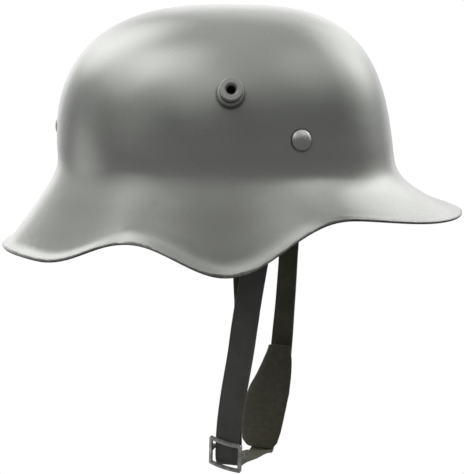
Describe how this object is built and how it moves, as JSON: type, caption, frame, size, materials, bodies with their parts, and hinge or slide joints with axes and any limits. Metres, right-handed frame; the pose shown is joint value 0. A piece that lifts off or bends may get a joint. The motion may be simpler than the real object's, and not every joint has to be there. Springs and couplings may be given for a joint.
{
  "type": "steel combat helmet",
  "caption": "Pressed steel helmet with a flared wavy rim and front peak, stepped side vent lugs, a padded leather liner and a hinged leather chinstrap.",
  "frame": {"origin": "on the plane of symmetry, at the height of the three liner rivets and under the common axis of the two vent lugs: the middle of the wearer's head at the sweatband", "axes": "+X to the peak at the front, +Y to the wearer's left, +Z to the crown"},
  "size_m": [0.3092, 0.236, 0.3164],
  "materials": {
    "field_grey_paint": "satin",
    "grey_fittings": "worn satin",
    "liner_leather": "matt",
    "strap_leather": "matt",
    "cushion_cloth": "matt"
  },
  "bodies": {
    "helmet": {"shell": "field_grey_paint", "lug_right": "field_grey_paint", "lug_left": "field_grey_paint", "lug_washer_right": "grey_fittings", "lug_washer_left": "grey_fittings", "liner_rivet_right": "field_grey_paint", "liner_rivet_left": "field_grey_paint", "liner_rivet_rear": "field_grey_paint", "liner_washers": "grey_fittings", "liner_band": "grey_fittings", "pad_front": "liner_leather", "pad_rear_left": "liner_leather", "pad_rear_right": "liner_leather", "pad_rivets": "grey_fittings", "cushion_front_left": "cushion_cloth", "cushion_front_right": "cushion_cloth", "cushion_side_left": "cushion_cloth", "cushion_side_right": "cushion_cloth", "cushion_rear_left": "cushion_cloth", "cushion_rear_right": "cushion_cloth", "strap_bracket_right": "grey_fittings", "strap_bracket_left": "grey_fittings", "bracket_rivets": "grey_fittings"},
    "chinstrap": {"chinstrap": "strap_leather", "chin_pad": "strap_leather", "strap_link_left": "grey_fittings", "snap_hook": "grey_fittings", "hook_gate_pin": "grey_fittings"},
    "gate": {"hook_gate": "grey_fittings"},
    "buckle": {"slide_buckle": "grey_fittings"}
  },
  "joints": [
    {"name": "chinstrap_swing", "type": "hinge", "parent": "helmet", "child": "chinstrap", "pos_m": [0.025, 0, -0.022], "axis": [0, 1, 0], "range_deg": [-60, 54]},
    {"name": "gate_swing", "type": "hinge", "parent": "chinstrap", "child": "gate", "pos_m": [0.02174, -0.08225, -0.03879], "axis": [-0.9816, 0, 0.1908], "range_deg": [0, 24], "stiffness_Nm_per_rad": 0.02, "springref_deg": -11.46},
    {"name": "buckle_slide", "type": "slide", "parent": "chinstrap", "child": "buckle", "axis": [0.0614, -0.3754, 0.9248], "range_m": [0, 0.006]}
  ]
}
